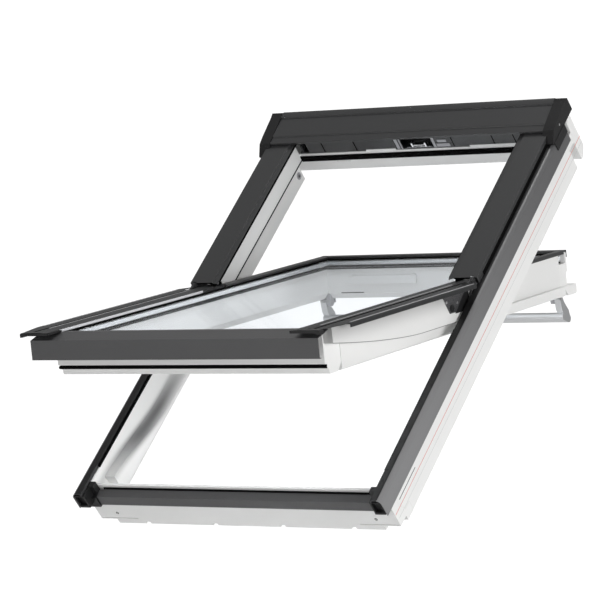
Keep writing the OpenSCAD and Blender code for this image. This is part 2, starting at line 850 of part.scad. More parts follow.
module bolt_housing() {
    color(c_grey) in_sash()
        difference() {
            block([-flange_x + 1, bolt_y - 7, bolt_z - 6.5], [-flange_x + 37, bolt_y + 7, sash_z - 0.1]);
            pin_x(-flange_x - 1, -flange_x + 38, bolt_y, bolt_z, bolt_r + pin_play);
            block([-flange_x + 12, bolt_y - 2.4, bolt_z - 8], [-flange_x + 33, bolt_y + 2.4, bolt_z]);
        }
}

module barrel_bolt() {
    color(c_metal) in_sash() {
        pin_x(-flange_x + 1, -flange_x + 36, bolt_y, bolt_z, bolt_r);
        block([-flange_x + 28, bolt_y - 2, bolt_z - 10], [-flange_x + 32, bolt_y + 2, bolt_z - 1]);
    }
}

// ---- Drawing ---------------------------------------------------------------

jamb_left();
jamb_right();
head();
sill();
side_cladding_left();
side_cladding_right();
upper_cover_left();
upper_cover_right();
top_hood();
hood_cap_left();
hood_cap_right();
sill_cover();
sill_corner_left();
sill_corner_right();
lower_gasket_left();
lower_gasket_right();
upper_gasket_left();
upper_gasket_right();
head_gasket();
sill_gasket();
vent_channel();
lock_striker();
frame_hinge_left();
frame_hinge_right();
bolt_bush();
frame_screws();
stile_left();
stile_right();
top_rail();
bottom_rail();
outer_pane();
inner_pane();
pane_spacer();
outer_seal();
inner_seal();
bottom_cover();
sash_cover_left();
sash_cover_right();
cover_end_left();
cover_end_right();
sash_profile_left();
sash_profile_right();
top_cover();
bottom_seal();
sash_hinge_left();
sash_hinge_right();
sash_screws();
lock_case();
lock_latch();
air_filter();
vent_flap();
bar_bracket_left();
bar_bracket_right();
control_bar();
bolt_housing();
barrel_bolt();
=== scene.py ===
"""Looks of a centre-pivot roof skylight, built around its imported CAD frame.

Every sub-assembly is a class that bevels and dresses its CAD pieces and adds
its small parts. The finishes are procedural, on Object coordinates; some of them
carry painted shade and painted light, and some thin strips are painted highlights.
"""

import json
import logging
import math
from dataclasses import dataclass, field
from enum import Enum

import bpy
from mathutils import Matrix, Vector

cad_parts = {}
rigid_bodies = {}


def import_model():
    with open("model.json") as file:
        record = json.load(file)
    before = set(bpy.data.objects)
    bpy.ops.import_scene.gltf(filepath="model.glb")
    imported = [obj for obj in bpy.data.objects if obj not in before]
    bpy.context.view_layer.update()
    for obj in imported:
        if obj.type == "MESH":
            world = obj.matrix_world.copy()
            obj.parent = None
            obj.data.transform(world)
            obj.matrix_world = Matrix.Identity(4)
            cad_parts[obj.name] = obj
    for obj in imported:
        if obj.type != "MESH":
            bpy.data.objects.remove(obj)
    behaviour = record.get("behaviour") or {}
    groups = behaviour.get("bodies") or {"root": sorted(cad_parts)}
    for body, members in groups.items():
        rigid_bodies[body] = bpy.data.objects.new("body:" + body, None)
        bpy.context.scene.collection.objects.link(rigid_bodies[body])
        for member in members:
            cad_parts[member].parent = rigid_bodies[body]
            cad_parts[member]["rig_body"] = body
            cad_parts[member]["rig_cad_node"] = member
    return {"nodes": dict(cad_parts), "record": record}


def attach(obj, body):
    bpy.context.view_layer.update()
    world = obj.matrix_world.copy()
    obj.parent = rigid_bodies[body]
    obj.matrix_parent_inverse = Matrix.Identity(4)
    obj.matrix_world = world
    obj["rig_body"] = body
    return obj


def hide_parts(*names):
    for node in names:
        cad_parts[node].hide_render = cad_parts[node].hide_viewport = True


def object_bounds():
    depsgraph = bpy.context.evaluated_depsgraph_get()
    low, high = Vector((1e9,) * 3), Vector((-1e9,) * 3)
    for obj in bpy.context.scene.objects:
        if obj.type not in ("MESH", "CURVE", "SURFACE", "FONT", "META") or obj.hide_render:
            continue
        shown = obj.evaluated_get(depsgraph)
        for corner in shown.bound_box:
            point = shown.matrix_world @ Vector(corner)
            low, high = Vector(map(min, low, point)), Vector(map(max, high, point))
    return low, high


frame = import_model()
CAD_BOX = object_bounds()

logging.basicConfig(level=logging.INFO, format="%(name)s: %(message)s")
LOG = logging.getLogger("skylight")

PITCH = math.radians(45.0)
OPEN = math.radians(36.0)
FRAME_ORIGIN = Vector((0.0, 0.030, -0.125))
PIVOT = Vector((0.0, 0.609, 0.014))
MM_PER_M = 1000.0
CORNER_ANGLE = math.radians(28.0)
SMOOTH_ANGLE = math.radians(30.0)
FLAT_ANGLE = math.radians(0.5)
NORMAL_WEIGHT = 80
SAME_POINT = 1e-6
ON_CUT = 1e-7
ALONG = 0.95
SUNK_RIM, SUNK_SHARE, SUNK_DEPTH = 0.002, 0.25, 0.2
COAT_ROUGH = 0.12
RELIEF_DEPTH = 0.0004

Piece = bpy.types.Object
Tree = bpy.types.NodeTree
Node = bpy.types.Node
Socket = bpy.types.NodeSocket
Section = tuple[tuple[float, float], ...]


class Side(Enum):
    """The two sides of the window, as seen from outside."""

    LEFT = -1
    RIGHT = 1

    @property
    def tag(self) -> str:
        """The side as the end of a piece's name."""
        return self.name.lower()


class Place(Enum):
    """The plane in which a new piece is drawn before it is placed."""

    ROOF = "roof"
    SASH = "sash"


# ---- Placing and modelling helpers ------------------------------------------


def mm(u: float, v: float, w: float) -> Vector:
    """A point in metres from millimetres across, up the slope and outwards."""
    return Vector((u, v, w)) / MM_PER_M


def oblong(x0: float, x1: float, z0: float, z1: float) -> Section:
    """A level oblong section between two places across and two outwards."""
    return ((x0, z0), (x1, z0), (x1, z1), (x0, z1))


def roof_matrix() -> Matrix:
    """Matrix from the roof plane (across, up the slope, outwards) to the row frame."""
    return Matrix.Rotation(PITCH, 4, "X") @ Matrix.Translation(-FRAME_ORIGIN)


def sash_matrix() -> Matrix:
    """Matrix from the closed sash to its open place in the row frame."""
    swing = Matrix.Rotation(-OPEN, 4, "X")
    return roof_matrix() @ Matrix.Translation(PIVOT) @ swing @ Matrix.Translation(-PIVOT)


def matrix_of(place: Place) -> Matrix:
    """Matrix of the plane that a piece is drawn in."""
    return roof_matrix() if place is Place.ROOF else sash_matrix()


def enter(mode: str) -> None:
    """Puts the active object in a mode."""
    bpy.ops.object.mode_set(mode=mode)


def deselect() -> None:
    """Leaves edit mode and clears the selection."""
    if bpy.context.object and bpy.context.object.mode != "OBJECT":
        enter("OBJECT")
    bpy.ops.object.select_all(action="DESELECT")


def activate(obj: Piece) -> None:
    """Makes one object the only selected and active one."""
    deselect()
    obj.select_set(True)
    bpy.context.view_layer.objects.active = obj


def apply_modifier(obj: Piece, kind: str, **values: object) -> None:
    """Adds a modifier with the given values and applies it.

    Args:
        obj: The object to change.
        kind: The modifier's type, such as BEVEL.
        values: The modifier's settings.
    """
    activate(obj)
    modifier = obj.modifiers.new(kind.title(), kind)
    for name, value in values.items():
        setattr(modifier, name, value)
    bpy.ops.object.modifier_apply(modifier=modifier.name)


def bevel(obj: Piece, width: float) -> None:
    """Rounds the sharp edges, and smooths the rest.

    Args:
        obj: The object to change.
        width: Width of the bevel in metres.
    """
    apply_modifier(obj, "BEVEL", width=width, segments=2, limit_method="ANGLE",
                   angle_limit=CORNER_ANGLE, use_clamp_overlap=True, harden_normals=False)
    activate(obj)
    bpy.ops.object.shade_smooth_by_angle(angle=SMOOTH_ANGLE)
    apply_modifier(obj, "WEIGHTED_NORMAL", weight=NORMAL_WEIGHT, keep_sharp=True)


def settle(obj: Piece, place: Place) -> Piece:
    """Moves a piece from its drawing plane to the row frame, with its place in its mesh.

    Args:
        obj: The finished piece, drawn in its plane.
        place: The plane that it was drawn in.

    Returns:
        The same piece, at the origin, unturned and unscaled.
    """
    deselect()
    obj.data.transform(matrix_of(place) @ obj.matrix_world)
    obj.matrix_world = Matrix.Identity(4)
    obj.data.update()
    return obj


def outward(obj: Piece) -> None:
    """Turns all faces of a closed mesh outwards.

    Args:
        obj: The object to change.
    """
    activate(obj)
    enter("EDIT")
    bpy.ops.mesh.select_all(action="SELECT")
    bpy.ops.mesh.normals_make_consistent(inside=False)
    enter("OBJECT")


def clear_picks(obj: Piece, kind: str) -> None:
    """Leaves nothing selected in a mesh, and sets what is picked in it.

    Args:
        obj: The object whose mesh it is.
        kind: EDGE or FACE.
    """
    activate(obj)
    enter("EDIT")
    bpy.ops.mesh.select_mode(type=kind)
    bpy.ops.mesh.select_all(action="DESELECT")
    enter("OBJECT")


def pick_faces(obj: Piece, direction: Vector) -> None:
    """Selects, in edit mode, the faces that look along a direction.

    Args:
        obj: The object whose faces are picked.
        direction: The direction as a unit vector.
    """
    clear_picks(obj, "FACE")
    for polygon in obj.data.polygons:
        polygon.select = polygon.normal.dot(direction) > ALONG
    enter("EDIT")


def pick_edge(obj: Piece, axis: int, value: float) -> None:
    """Selects, in edit mode, the edges that lie at a value on an axis.

    Args:
        obj: The object whose edges are picked.
        axis: Number of the axis.
        value: The value on that axis, in metres.
    """
    clear_picks(obj, "EDGE")
    points = obj.data.vertices
    for edge in obj.data.edges:
        edge.select = all(abs(points[v].co[axis] - value) < SAME_POINT for v in edge.vertices)
    enter("EDIT")


def extrude(step: Vector) -> None:
    """Extrudes what is picked and moves it by a step."""
    bpy.ops.mesh.extrude_region_move(TRANSFORM_OT_translate={"value": step})


def new_plane(name: str, centre: Vector, size: Vector, turn: tuple[float, float, float]) -> Piece:
    """A plane at its size and place, with its transforms applied.

    Args:
        name: The piece's name.
        centre: Its middle, in metres.
        size: Its size along its own axes, in metres.
        turn: Its rotation as Euler angles.

    Returns:
        The plane, which is the start of a piece.
    """
    deselect()
    bpy.ops.mesh.primitive_plane_add(size=1.0, location=centre, rotation=turn)
    obj = bpy.context.object
    obj.name = name
    obj.scale = size
    bpy.ops.object.transform_apply(location=True, rotation=True, scale=True)
    return obj


def new_block(name: str, low: Vector, high: Vector, width: float, place: Place) -> Piece:
    """A bevelled block with a sunk front, between two corners of its drawing plane.

    Args:
        name: The piece's name.
        low: Lowest corner, in metres.
        high: Highest corner, in metres.
        width: Width of its bevel in metres.
        place: The plane that it is drawn in.

    Returns:
        The placed piece.
    """
    deselect()
    size = high - low
    bpy.ops.mesh.primitive_cube_add(size=1.0, location=(low + high) / 2)
    obj = bpy.context.object
    obj.name = name
    obj.scale = size
    bpy.ops.object.transform_apply(location=True, rotation=False, scale=True)
    pick_faces(obj, Vector((0.0, -1.0, 0.0)))
    bpy.ops.mesh.inset(thickness=min(SUNK_RIM, SUNK_SHARE * min(size.x, size.z)))
    bpy.ops.transform.translate(value=(0.0, SUNK_DEPTH * size.y, 0.0))
    enter("OBJECT")
    bevel(obj, width)
    return settle(obj, place)


def copy_across(obj: Piece, name: str, shift: float) -> Piece:
    """A copy of a placed piece, with its own mesh, moved across the window.

    Args:
        obj: The piece to copy.
        name: The copy's name.
        shift: How far it is moved, in metres.

    Returns:
        The copy.
    """
    copy = bpy.data.objects.new(name, obj.data.copy())
    bpy.context.scene.collection.objects.link(copy)
    copy.data.transform(Matrix.Translation((shift, 0.0, 0.0)))
    return copy


def new_strip(name: str, side: Side, section: Section, span: tuple[float, float], place: Place,
              width: float = 0.0) -> Piece:
    """A straight strip up the slope, with a section cut out of a plane and extruded.

    Args:
        name: The piece's name.
        side: The side that it is on.
        section: Its convex section as (across, outwards) in millimetres, anticlockwise, for
            the right-hand side.
        span: Where it starts and ends up the slope, in millimetres.
        place: The plane that it is drawn in.
        width: Width of its bevel in millimetres, or 0 for sharp edges.

    Returns:
        The placed piece.
    """
    x0, x1 = min(x for x, _ in section), max(x for x, _ in section)
    z0, z1 = min(z for _, z in section), max(z for _, z in section)
    obj = new_plane(name, mm(side.value * (x0 + x1) / 2, span[0], (z0 + z1) / 2),
                    mm(x1 - x0, z1 - z0, MM_PER_M), (math.pi / 2, 0.0, 0.0))
    enter("EDIT")
    for (ax, az), (bx, bz) in zip(section, section[1:] + section[:1]):
        if ax == bx or az == bz:
            continue
        bpy.ops.mesh.select_all(action="SELECT")
        bpy.ops.mesh.bisect(plane_co=mm(side.value * ax, span[0], az), threshold=ON_CUT, clear_outer=True,
                            plane_no=(side.value * (bz - az), 0.0, ax - bx))
    bpy.ops.mesh.select_all(action="SELECT")
    extrude(mm(0.0, span[1] - span[0], 0.0))
    enter("OBJECT")
    outward(obj)
    if width:
        bevel(obj, width / MM_PER_M)
    return settle(obj, place)


def new_fold(name: str, side: Side, points: Section, thickness: float, span: tuple[float, float],
             place: Place) -> Piece:
    """A thin sheet up the slope, folded out of a plane edge by edge.

    Args:
        name: The piece's name.
        side: The side that it is on.
        points: Its middle line as (across, outwards) in millimetres; the first fold is level.
        thickness: Its thickness in millimetres.
        span: Where it starts and ends up the slope, in millimetres.
        place: The plane that it is drawn in.

    Returns:
        The placed piece.
    """
    (x0, z0), (x1, _) = points[0], points[1]
    centre = mm(side.value * (x0 + x1) / 2, (span[0] + span[1]) / 2, z0)
    obj = new_plane(name, centre, mm(x1 - x0, span[1] - span[0], MM_PER_M), (0.0, 0.0, 0.0))
    pick_edge(obj, 0, side.value * x1 / MM_PER_M)
    for (ax, az), (bx, bz) in zip(points[1:], points[2:]):
        extrude(mm(side.value * (bx - ax), 0.0, bz - az))
    enter("OBJECT")
    apply_modifier(obj, "SOLIDIFY", thickness=thickness / MM_PER_M, offset=0.0)
    outward(obj)
    return settle(obj, place)


def refine(node: str, width: float) -> Piece:
    """A copy of a CAD piece with merged faces and rounded edges, which stands for it.

    Args:
        node: Name of the CAD node.
        width: Width of the bevel in metres.

    Returns:
        The new piece, riding on the node's body.
    """
    source = frame["nodes"][node]
    deselect()
    obj = bpy.data.objects.new(node + "_finished", source.data.copy())
    bpy.context.scene.collection.objects.link(obj)
    activate(obj)
    enter("EDIT")
    bpy.ops.mesh.select_all(action="SELECT")
    bpy.ops.mesh.remove_doubles(threshold=SAME_POINT)
    bpy.ops.mesh.dissolve_limited(angle_limit=FLAT_ANGLE)
    enter("OBJECT")
    bevel(obj, width)
    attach(obj, source["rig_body"])
    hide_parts(node)
    return obj


# ---- Shader node groups -------------------------------------------------------


def join(a: Node, output: str | int, b: Node, entry: str | int) -> None:
    """Links an output of one node to an input of another in the same tree."""
    a.id_data.links.new(a.outputs[output], b.inputs[entry])


def fill(node: Node, values: dict[str, object]) -> None:
    """Sets the constant values of a node's inputs."""
    for label, value in values.items():
        node.inputs[label].default_value = value


class NodeGroup:
    """A shader node group with named inputs and outputs."""

    def __init__(self, name: str, inputs: dict[str, float], outputs: dict[str, str]) -> None:
        """Makes the group and its sockets.

        Args:
            name: The group's name.
            inputs: Each input's name and its value.
            outputs: Each output's name and its socket type.
        """
        self.tree = bpy.data.node_groups.new(name, "ShaderNodeTree")
        for label, value in inputs.items():
            socket = self.tree.interface.new_socket(label, in_out="INPUT", socket_type="NodeSocketFloat")
            socket.default_value = value
        for label, kind in outputs.items():
            self.tree.interface.new_socket(label, in_out="OUTPUT", socket_type=kind)
        self.source = self.tree.nodes.new("NodeGroupInput")
        self.sink = self.tree.nodes.new("NodeGroupOutput")

    def node(self, kind: str, **values: object) -> Node:
        """Adds a node and sets its values.

        Args:
            kind: The node's type.
            values: Its settings.

        Returns:
            The node.
        """
        made = self.tree.nodes.new(kind)
        for name, value in values.items():
            setattr(made, name, value)
        return made

    def link(self, a: Socket, b: Socket) -> None:
        """Links two sockets."""
        self.tree.links.new(a, b)

    def coords(self) -> Socket:
        """The Object coordinate socket."""
        return self.node("ShaderNodeTexCoord").outputs["Object"]

    def plane_coords(self, place: Matrix) -> bpy.types.bpy_prop_collection:
        """The coordinates in a drawing plane.

        Args:
            place: Matrix from the drawing plane to the row frame.

        Returns:
            The sockets X, Y and Z.
        """
        back = place.inverted()
        mapping = self.node("ShaderNodeMapping")
        fill(mapping, {"Rotation": back.to_euler(), "Location": back.translation})
        self.link(self.coords(), mapping.inputs["Vector"])
        parts = self.node("ShaderNodeSeparateXYZ")
        join(mapping, "Vector", parts, "Vector")
        return parts.outputs

    def math(self, operation: str, a: object, b: object = None) -> Socket:
        """A math node fed by sockets or numbers.

        Args:
            operation: The node's operation.
            a: Its first value.
            b: Its second value, if it takes one.

        Returns:
            The result's socket.
        """
        made = self.node("ShaderNodeMath", operation=operation)
        for number, value in enumerate((a, b)):
            if isinstance(value, Socket):
                self.link(value, made.inputs[number])
            elif value is not None:
                made.inputs[number].default_value = value
        return made.outputs[0]

    def ramp(self, value: Socket, low: float, high: float, start: float, end: float) -> Socket:
        """A smooth step from one value to another.

        Args:
            value: The socket that is read.
            low: Where the step starts.
            high: Where the step ends.
            start: What comes out where it starts.
            end: What comes out where it ends.

        Returns:
            The result's socket.
        """
        made = self.node("ShaderNodeMapRange", interpolation_type="SMOOTHSTEP")
        fill(made, {"From Min": low, "From Max": high, "To Min": start, "To Max": end})
        self.link(value, made.inputs["Value"])
        return made.outputs["Result"]

    def put_mask(self, value: Socket) -> None:
        """Puts out a mask, scaled by the Strength input."""
        self.link(self.math("MULTIPLY", value, self.source.outputs["Strength"]), self.sink.inputs["Mask"])


def grain_group() -> Tree:
    """Fine surface grain.

    Returns:
        A group with a mask and a height, both from noise of a given scale.
    """
    g = NodeGroup("Grain", {"Scale": 900.0, "Detail": 3.0},
                  {"Mask": "NodeSocketFloat", "Height": "NodeSocketFloat"})
    noise = g.node("ShaderNodeTexNoise")
    g.link(g.coords(), noise.inputs["Vector"])
    join(g.source, "Scale", noise, "Scale")
    join(g.source, "Detail", noise, "Detail")
    ramp = g.node("ShaderNodeMapRange")
    fill(ramp, {"From Min": 0.35, "From Max": 0.65})
    join(noise, "Fac", ramp, "Value")
    join(ramp, "Result", g.sink, "Mask")
    join(noise, "Fac", g.sink, "Height")
    return g.tree


def dust_group() -> Tree:
    """Faint cloudy variation, as of handling and dust.

    Returns:
        A group with one mask between 0 and 1.
    """
    g = NodeGroup("Dust", {"Scale": 6.0, "Amount": 0.5}, {"Mask": "NodeSocketFloat"})
    noise = g.node("ShaderNodeTexNoise")
    fill(noise, {"Detail": 5.0, "Roughness": 0.6})
    g.link(g.coords(), noise.inputs["Vector"])
    join(g.source, "Scale", noise, "Scale")
    g.link(g.math("MULTIPLY", noise.outputs["Fac"], g.source.outputs["Amount"]), g.sink.inputs["Mask"])
    return g.tree


def drawn_group() -> Tree:
    """Lines drawn across the window, as on extruded or brushed metal.

    Returns:
        A group with the height of the lines.
    """
    g = NodeGroup("DrawnLines", {"Scale": 700.0}, {"Height": "NodeSocketFloat"})
    mapping = g.node("ShaderNodeMapping")
    fill(mapping, {"Scale": (0.015, 1.0, 1.0)})
    noise = g.node("ShaderNodeTexNoise")
    fill(noise, {"Detail": 2.0})
    g.link(g.coords(), mapping.inputs["Vector"])
    join(mapping, "Vector", noise, "Vector")
    join(g.source, "Scale", noise, "Scale")
    join(noise, "Fac", g.sink, "Height")
    return g.tree


def groove_group() -> Tree:
    """Soft shade along the curved step of the lower jambs.

    Returns:
        A group with one mask, 1 on the step and fading around it.
    """
    g = NodeGroup("GrooveShade", {"Strength": 0.92}, {"Mask": "NodeSocketFloat"})
    across, along, out = g.plane_coords(roof_matrix())
    step = g.ramp(along, 0.045, 0.330, -0.038, -0.072)
    gap = g.math("ABSOLUTE", g.math("SUBTRACT", out, step))
    near = g.math("POWER", g.ramp(gap, 0.0, 0.024, 1.0, 0.0), 1.6)
    fade = g.math("MULTIPLY", g.ramp(along, 0.05, 0.22, 0.35, 1.0), g.ramp(along, 0.28, 0.50, 1.0, 0.25))
    inner = g.ramp(g.math("ABSOLUTE", across), 0.3785, 0.3795, 1.0, 0.0)
    g.put_mask(g.math("MULTIPLY", g.math("MULTIPLY", near, fade), inner))
    return g.tree


def under_cover_group() -> Tree:
    """Soft shade on the sash's flank, below its side covers.

    Returns:
        A group with one mask, deepest at the cover and beside the hinge.
    """
    g = NodeGroup("UnderCoverShade", {"Strength": 0.75}, {"Mask": "NodeSocketFloat"})
    across, along, out = g.plane_coords(sash_matrix())
    near = g.math("POWER", g.ramp(out, -0.050, 0.002, 0.0, 1.0), 1.3)
    hinge = g.ramp(along, 0.38, 0.56, 0.7, 1.0)
    flank = g.ramp(g.math("ABSOLUTE", across), 0.350, 0.360, 0.0, 1.0)
    g.put_mask(g.math("MULTIPLY", g.math("MULTIPLY", near, hinge), flank))
    return g.tree


def painted_flank_light_group() -> Tree:
    """Painted light on the outer flank of the side cladding, lighter than its top.

    Returns:
        A group with one mask, 1 on the flank and 0 on the top, weaker up the slope.
    """
    g = NodeGroup("FlankPaintedLight", {"Strength": 1.0}, {"Mask": "NodeSocketFloat"})
    across, along, _ = g.plane_coords(roof_matrix())
    flank = g.ramp(g.math("ABSOLUTE", across), 0.3900, 0.3912, 0.0, 1.0)
    g.put_mask(g.math("MULTIPLY", flank, g.ramp(along, 0.0, 1.1, 1.0, 0.35)))
    return g.tree


class Pattern(Enum):
    """Relief of a finish."""

    GRAIN = "grain"
    DRAWN = "drawn"


class Shading(Enum):
    """Where a finish takes its third tone, of painted light or painted shade."""

    NONE = "none"
    GROOVE = "groove"
    UNDER_COVER = "under_cover"
    FLANK = "flank"


@dataclass(frozen=True)
class Finish:
    """A surface finish.

    Attributes:
        slot: The record's material slot.
        colour: Base colour, linear.
        shade: Second colour that the dust mask mixes in.
        rough: Lowest and highest roughness.
        metal: Metallic value.
        bump: Strength of the relief.
        scale: Scale of the relief.
        coat: Weight of the clear coat.
        gloss: Strength of the mirror reflection.
        pattern: Kind of relief.
        shading: Where the third tone, of painted light or painted shade, is.
        tone: The third tone, linear: painted shade, or painted light on the cladding's flank.
    """

    slot: str
    colour: tuple[float, float, float]
    shade: tuple[float, float, float]
    rough: tuple[float, float] = (0.4, 0.5)
    metal: float = 0.0
    bump: float = 0.05
    scale: float = 900.0
    coat: float = 0.0
    gloss: float = 0.5
    pattern: Pattern = Pattern.GRAIN
    shading: Shading = Shading.NONE
    tone: tuple[float, float, float] = (0.06, 0.06, 0.062)

    def build(self, groups: dict[str, Tree]) -> bpy.types.Material:
        """Makes the material.

        Args:
            groups: The shared node groups by name.

        Returns:
            The procedural material.
        """
        material = bpy.data.materials.new(self.slot)
        material.use_nodes = True
        tree = material.node_tree
        shader = tree.nodes["Principled BSDF"]
        fill(shader, {"Metallic": self.metal, "Coat Weight": self.coat, "Coat Roughness": COAT_ROUGH,
                      "Specular IOR Level": self.gloss})
        dust = self._group(tree, groups["dust"])
        grain = self._group(tree, groups["grain"])
        fill(grain, {"Scale": self.scale})
        mix = tree.nodes.new("ShaderNodeMix")
        mix.data_type = "RGBA"
        fill(mix, {"A": (*self.colour, 1.0), "B": (*self.shade, 1.0)})
        join(dust, "Mask", mix, "Factor")
        colour = mix.outputs["Result"]
        # Painted light and shade: a mask mixes the third tone into the colour.
        if self.shading is not Shading.NONE:
            shade = self._group(tree, groups[self.shading.value])
            painted_tone_mix = tree.nodes.new("ShaderNodeMix")
            painted_tone_mix.data_type = "RGBA"
            fill(painted_tone_mix, {"B": (*self.tone, 1.0)})
            join(shade, "Mask", painted_tone_mix, "Factor")
            tree.links.new(colour, painted_tone_mix.inputs["A"])
            colour = painted_tone_mix.outputs["Result"]
        tree.links.new(colour, shader.inputs["Base Color"])
        rough = tree.nodes.new("ShaderNodeMapRange")
        fill(rough, {"To Min": self.rough[0], "To Max": self.rough[1]})
        join(grain, "Mask", rough, "Value")
        join(rough, "Result", shader, "Roughness")
        relief = grain
        if self.pattern is Pattern.DRAWN:
            relief = self._group(tree, groups["drawn"])
        bump = tree.nodes.new("ShaderNodeBump")
        fill(bump, {"Strength": self.bump, "Distance": RELIEF_DEPTH})
        join(relief, "Height", bump, "Height")
        join(bump, "Normal", shader, "Normal")
        return material

    @staticmethod
    def _group(tree: Tree, group: Tree) -> Node:
        """Places a node group in a material."""
        node = tree.nodes.new("ShaderNodeGroup")
        node.node_tree = group
        return node


@dataclass(frozen=True)
class GlassFinish:
    """Clear glass with a faint cool tint.

    Attributes:
        slot: The record's material slot.
        tint: Colour of the light that passes.
        ior: Index of refraction.
        shadow: Share of the light that its shadow lets through.
        wave_scale: Scale of its waviness.
        wave_strength: Strength of its waviness.
        wave_depth: Depth of its waviness, in metres.
    """

    slot: str = "glass"
    tint: tuple[float, float, float] = (0.948, 0.962, 0.975)
    ior: float = 1.01
    shadow: float = 0.97
    wave_scale: float = 2.5
    wave_strength: float = 0.02
    wave_depth: float = 0.001

    def build(self) -> bpy.types.Material:
        """Makes the glass material.

        Returns:
            Glass with a slight waviness on its surface.
        """
        material = bpy.data.materials.new(self.slot)
        material.use_nodes = True
        tree = material.node_tree
        shader = tree.nodes["Principled BSDF"]
        fill(shader, {"Base Color": (*self.tint, 1.0), "Transmission Weight": 1.0, "Roughness": 0.0,
                      "IOR": self.ior})
        coords = tree.nodes.new("ShaderNodeTexCoord")
        wave = tree.nodes.new("ShaderNodeTexNoise")
        fill(wave, {"Scale": self.wave_scale})
        bump = tree.nodes.new("ShaderNodeBump")
        fill(bump, {"Strength": self.wave_strength, "Distance": self.wave_depth})
        join(coords, "Object", wave, "Vector")
        join(wave, "Fac", bump, "Height")
        join(bump, "Normal", shader, "Normal")
        clear = tree.nodes.new("ShaderNodeBsdfTransparent")
        fill(clear, {"Color": (*[self.shadow] * 3, 1.0)})
        path = tree.nodes.new("ShaderNodeLightPath")
        either = tree.nodes.new("ShaderNodeMixShader")
        output = tree.nodes["Material Output"]
        join(path, "Is Shadow Ray", either, "Fac")
        join(shader, "BSDF", either, 1)
        join(clear, "BSDF", either, 2)
        join(either, "Shader", output, "Surface")
        return material


FINISHES = (
    Finish("white_coat", (0.83, 0.83, 0.82), (0.78, 0.78, 0.775), (0.34, 0.46),
           bump=0.10, scale=700.0, coat=0.15),
    Finish("dark_cladding", (0.036, 0.0365, 0.0375), (0.048, 0.0485, 0.050), (0.30, 0.40),
           bump=0.12, scale=1500.0),
    # Painted shade: a darker copy of dark_cladding for the sash covers.
    Finish("sash_cladding_painted_shade", (0.024, 0.0245, 0.0255), (0.034, 0.0345, 0.036), (0.34, 0.44),
           bump=0.12, scale=1500.0, gloss=0.2),
    # Painted light: a lit copy of dark_cladding, lighter on the cladding's flank than on its top.
    Finish("cladding_flank", (0.036, 0.0365, 0.0375), (0.048, 0.0485, 0.050), (0.30, 0.40),
           bump=0.12, scale=1500.0, shading=Shading.FLANK, tone=(0.21, 0.21, 0.214)),
    Finish("cover_plate", (0.075, 0.075, 0.077), (0.090, 0.090, 0.092), (0.42, 0.52),
           bump=0.12, scale=1500.0),
    Finish("black_plastic", (0.010, 0.010, 0.0105), (0.018, 0.018, 0.0185), (0.32, 0.5),
           bump=0.25, scale=1100.0, gloss=0.35),
    Finish("rubber", (0.003, 0.003, 0.003), (0.006, 0.006, 0.006), (0.6, 0.75),
           bump=0.2, scale=800.0, gloss=0.02),
    Finish("zinc_steel", (0.080, 0.080, 0.083), (0.055, 0.055, 0.058), (0.25, 0.40), 0.3,
           bump=0.1, scale=400.0),
    Finish("screw_steel", (0.75, 0.75, 0.76), (0.65, 0.65, 0.66), (0.15, 0.25), 1.0, bump=0.03),
    Finish("grey_plastic", (0.38, 0.38, 0.40), (0.34, 0.34, 0.36), (0.4, 0.5), bump=0.15),
    Finish("filter_foam", (0.22, 0.22, 0.23), (0.15, 0.15, 0.16), (0.8, 0.95), bump=0.9, scale=350.0),
    Finish("bar_aluminium", (0.70, 0.71, 0.72), (0.66, 0.67, 0.68), (0.28, 0.36), 0.9, bump=0.12,
           pattern=Pattern.DRAWN),
    # Painted shade: the white coat darkened along the curved step of the lower jambs.
    Finish("white_jamb_painted_shade", (0.83, 0.83, 0.82), (0.78, 0.78, 0.775), (0.30, 0.42),
           bump=0.10, scale=700.0, coat=0.2, shading=Shading.GROOVE),
    # Painted shadow: the stile's white darkened below the side covers and beside the hinge.
    Finish("white_stile_painted_shade", (0.81, 0.81, 0.80), (0.76, 0.76, 0.755), (0.30, 0.42),
           bump=0.10, scale=700.0, coat=0.15, shading=Shading.UNDER_COVER, tone=(0.20, 0.20, 0.205)),
    Finish("marking_red", (0.62, 0.10, 0.08), (0.75, 0.30, 0.26), (0.5, 0.6), bump=0.02),
    # Painted shade in slots and recesses, drawn as flat dark marks.
    Finish("recess_painted_shade", (0.018, 0.018, 0.018), (0.03, 0.03, 0.03), (0.7, 0.8), bump=0.05, gloss=0.1),
    # Painted shade: a grey line for an edge on the frame's flank.
    Finish("edge_line_painted_shade", (0.42, 0.42, 0.42), (0.52, 0.52, 0.52), (0.6, 0.7), bump=0.05),
    # Partly a dark joint, partly painted shadow under the sash's curved edge.
    Finish("joint_and_painted_shadow", (0.16, 0.16, 0.16), (0.22, 0.22, 0.22), (0.6, 0.7), bump=0.05),
    # Painted highlight: a near-white glossy strip that stands for glints on the dark covers.
    Finish("ridge_painted_highlight", (0.88, 0.88, 0.90), (0.78, 0.78, 0.80), (0.16, 0.24), 0.45, bump=0.03,
           pattern=Pattern.DRAWN),
    Finish("spacer", (0.88, 0.90, 0.92), (0.82, 0.85, 0.88), (0.3, 0.4), 0.2,
           bump=0.1, pattern=Pattern.DRAWN),
)


